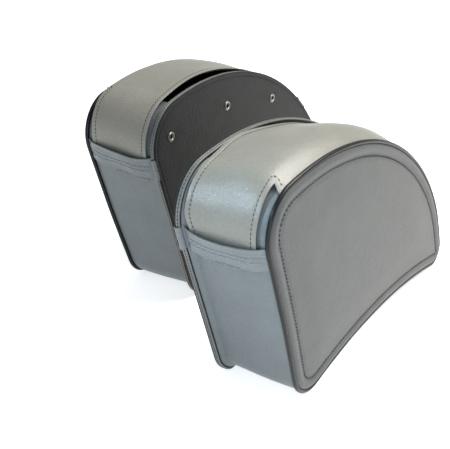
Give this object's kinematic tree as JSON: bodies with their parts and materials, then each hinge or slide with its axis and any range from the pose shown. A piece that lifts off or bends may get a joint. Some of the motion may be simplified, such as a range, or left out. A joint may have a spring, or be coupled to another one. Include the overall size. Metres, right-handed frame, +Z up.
{
  "type": "saddle bag pair",
  "caption": "Pair of mirrored hard-shaped grey vinyl saddle bags with drop-shaped faces, arched lids whose tongues tuck behind end keepers, and eyelets in the black back panels.",
  "frame": {"origin": "on the floor, under the centre of the bounding box of the standing pair", "axes": "+X towards the rear of both bags, +Y from the left bag to the right one, +Z up"},
  "size_m": [0.5688, 0.351, 0.2788],
  "materials": {
    "face_vinyl": "fine-grained grey vinyl, satin",
    "lid_vinyl": "fine-grained grey vinyl, satin",
    "side_vinyl": "fine-grained grey vinyl, satin",
    "keeper_vinyl": "fine-grained grey vinyl, satin",
    "binding_vinyl": "folded grey vinyl edge strip",
    "piping_vinyl": "glossy black vinyl over cord",
    "back_vinyl": "grained black vinyl",
    "lining": "black woven backing cloth",
    "board": "stiffening board",
    "foam": "soft foam sheet",
    "eyelet_metal": "nickel plated, slightly worn",
    "washer_metal": "nickel plated"
  },
  "bodies": {
    "left_shell": {"left_outer_panel": "face_vinyl", "left_foam_pad": "foam", "left_outer_board": "board", "left_outer_lining": "lining", "left_piping": "piping_vinyl", "left_gusset": "side_vinyl", "left_gusset_lining": "lining", "left_back_panel": "back_vinyl", "left_back_board": "board", "left_back_lining": "lining", "left_back_binding": "binding_vinyl", "left_eyelets": "eyelet_metal", "left_eyelet_washers": "washer_metal", "left_hinge_strip": "lid_vinyl", "left_keeper_front": "keeper_vinyl", "left_keeper_rear": "keeper_vinyl", "left_patch_front": "keeper_vinyl", "left_patch_rear": "keeper_vinyl"},
    "left_lid": {"left_lid": "lid_vinyl", "left_lid_lining": "lining", "left_tongue_front": "lid_vinyl", "left_tongue_rear": "lid_vinyl"},
    "right_shell": {"right_outer_panel": "face_vinyl", "right_foam_pad": "foam", "right_outer_board": "board", "right_outer_lining": "lining", "right_piping": "piping_vinyl", "right_gusset": "side_vinyl", "right_gusset_lining": "lining", "right_back_panel": "back_vinyl", "right_back_board": "board", "right_back_lining": "lining", "right_back_binding": "binding_vinyl", "right_eyelets": "eyelet_metal", "right_eyelet_washers": "washer_metal", "right_hinge_strip": "lid_vinyl", "right_keeper_front": "keeper_vinyl", "right_keeper_rear": "keeper_vinyl", "right_patch_front": "keeper_vinyl", "right_patch_rear": "keeper_vinyl"},
    "right_lid": {"right_lid": "lid_vinyl", "right_lid_lining": "lining", "right_tongue_front": "lid_vinyl", "right_tongue_rear": "lid_vinyl"}
  },
  "joints": [
    {"name": "left_lid_swing", "type": "hinge", "parent": "left_shell", "child": "left_lid", "pos_m": [-0.1093, -0.15949, 0.26621], "axis": [0.9794, 0, -0.2022], "range_deg": [0, 110], "deforming": ["left_tongue_front", "left_tongue_rear"]},
    {"name": "right_lid_swing", "type": "hinge", "parent": "right_shell", "child": "right_lid", "pos_m": [0.00381, 0.1463, 0.26621], "axis": [-0.978, -0.0513, 0.2022], "range_deg": [0, 110], "deforming": ["right_tongue_front", "right_tongue_rear"]},
    {"name": "bag_spread", "type": "slide", "parent": "left_shell", "child": "right_shell", "axis": [0, 1, 0], "range_m": [-0.1, 0.15]}
  ]
}
